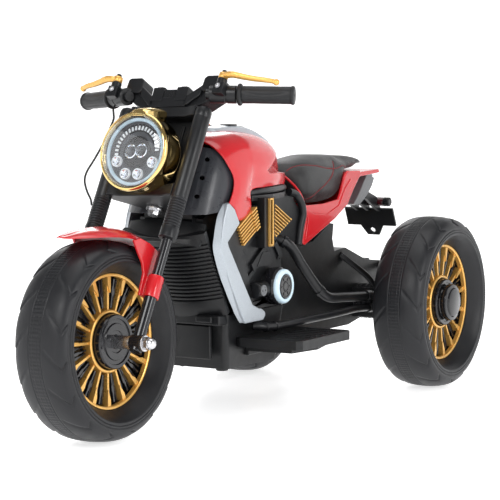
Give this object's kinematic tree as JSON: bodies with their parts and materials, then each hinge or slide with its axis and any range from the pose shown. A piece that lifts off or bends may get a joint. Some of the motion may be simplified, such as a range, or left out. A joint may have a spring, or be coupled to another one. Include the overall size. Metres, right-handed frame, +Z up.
{
  "type": "ride-on motorcycle trike",
  "caption": "Child's battery ride-on trike in a cruiser style, with a raked fork, round headlamp, padded seat, footboards and spoked wheels.",
  "frame": {"origin": "on the ground, midway between the front and rear axles, on the centre plane", "axes": "+Z up, the front points along -Y, the rider's left is +X"},
  "size_m": [0.481, 1.0528, 0.5515],
  "materials": {
    "red_gloss": "glossy moulded red",
    "black_plastic": "fine-textured black",
    "black_gloss": "polished black",
    "dark_satin": "satin charcoal",
    "inner_grey": "plain moulded casing",
    "silver_plastic": "silver-grey with a fine metallic fleck",
    "gold_plastic": "gold-coloured moulding",
    "gold_chrome": "gold plated",
    "lamp_inner": "dark reflector with pale light bars",
    "clear_lens": "clear domed cover",
    "halo": "pale blue translucent ring",
    "orange_plastic": "orange push button",
    "red_lens": "dark red light bar",
    "tyre_plastic": "hard charcoal moulded tyre",
    "seat_vinyl": "black vinyl with red seams",
    "grip_rubber": "ribbed black rubber",
    "steel": "bright zinc"
  },
  "bodies": {
    "chassis": {"body_left": "black_plastic", "body_right": "black_plastic", "head_tube": "dark_satin", "front_panel": "black_plastic", "belly_tray": "black_plastic", "battery": "inner_grey", "control_box": "inner_grey", "tank_cover": "red_gloss", "fairing_left": "red_gloss", "fairing_right": "red_gloss", "console": "silver_plastic", "scoop_left": "black_plastic", "scoop_right": "black_plastic", "strake_left": "silver_plastic", "strake_right": "silver_plastic", "engine_fins_left": "gold_plastic", "engine_fins_right": "gold_plastic", "light_ring_left": "halo", "light_ring_right": "halo", "footboard_left": "black_plastic", "footboard_right": "black_plastic", "exhaust_left": "black_gloss", "exhaust_right": "black_gloss", "seat_cowl": "red_gloss", "seat_pad": "seat_vinyl", "tail_cover": "silver_plastic", "tail_light": "red_lens", "plate_bracket": "black_plastic", "rear_housing": "black_plastic", "rear_axle": "steel", "gearbox_left": "inner_grey", "gearbox_right": "inner_grey", "charge_socket": "black_plastic"},
    "pedal": {"foot_pedal": "dark_satin"},
    "power_button": {"power_button": "orange_plastic"},
    "direction_switch": {"direction_switch": "dark_satin"},
    "steering": {"steering_column": "steel", "fork_yokes": "dark_satin", "fork_left": "black_gloss", "fork_right": "black_gloss", "handlebar": "dark_satin", "grip_left": "grip_rubber", "grip_right": "grip_rubber", "lamp_housing": "gold_chrome", "lamp_face": "lamp_inner", "lamp_lens": "clear_lens", "front_fender": "red_gloss", "front_axle": "steel", "axle_nuts": "steel", "brake_cable": "grip_rubber"},
    "lever_left": {"lever_left": "gold_plastic"},
    "lever_right": {"lever_right": "gold_plastic"},
    "front_wheel": {"front_tyre": "tyre_plastic", "front_rim": "gold_plastic"},
    "rear_wheel_left": {"rear_tyre_left": "tyre_plastic", "rear_rim_left": "gold_plastic", "rear_cap_left": "black_gloss"},
    "rear_wheel_right": {"rear_tyre_right": "tyre_plastic", "rear_rim_right": "gold_plastic", "rear_cap_right": "black_gloss"}
  },
  "joints": [
    {"name": "steer", "type": "hinge", "parent": "chassis", "child": "steering", "pos_m": [0, -0.19192, 0.39362], "axis": [0, 0.4818, 0.8763], "range_deg": [-22, 28]},
    {"name": "front_spin", "type": "hinge", "parent": "steering", "child": "front_wheel", "pos_m": [-0.00209, -0.37145, 0.14997], "axis": [0.9986, -0.0459, 0.0252], "continuous": true},
    {"name": "rear_spin_left", "type": "hinge", "parent": "chassis", "child": "rear_wheel_left", "pos_m": [0.192, 0.3715, 0.15], "axis": [1, 0, 0], "continuous": true},
    {"name": "rear_spin_right", "type": "hinge", "parent": "chassis", "child": "rear_wheel_right", "pos_m": [-0.192, 0.3715, 0.15], "axis": [1, 0, 0], "continuous": true},
    {"name": "brake_lever_left", "type": "hinge", "parent": "steering", "child": "lever_left", "pos_m": [0.09803, -0.17781, 0.5422], "axis": [0, 0.4818, 0.8763], "range_deg": [0, 6], "stiffness_Nm_per_rad": 1.5, "springref_deg": -1.72},
    {"name": "brake_lever_right", "type": "hinge", "parent": "steering", "child": "lever_right", "pos_m": [-0.10369, -0.16855, 0.53711], "axis": [0, -0.4818, -0.8763], "range_deg": [0, 6], "stiffness_Nm_per_rad": 1.5, "springref_deg": -1.72},
    {"name": "accelerator", "type": "hinge", "parent": "chassis", "child": "pedal", "pos_m": [-0.144, 0.01, 0.136], "axis": [1, 0, 0], "range_deg": [0, 8], "stiffness_Nm_per_rad": 2, "springref_deg": -2.86},
    {"name": "power_press", "type": "slide", "parent": "chassis", "child": "power_button", "axis": [0, 0, -1], "range_m": [0, 0.002], "stiffness_N_per_m": 500, "springref_m": -0.0005},
    {"name": "direction_rock", "type": "hinge", "parent": "chassis", "child": "direction_switch", "pos_m": [0.012, -0.02, 0.457], "axis": [1, 0, 0], "range_deg": [-6, 6]}
  ]
}
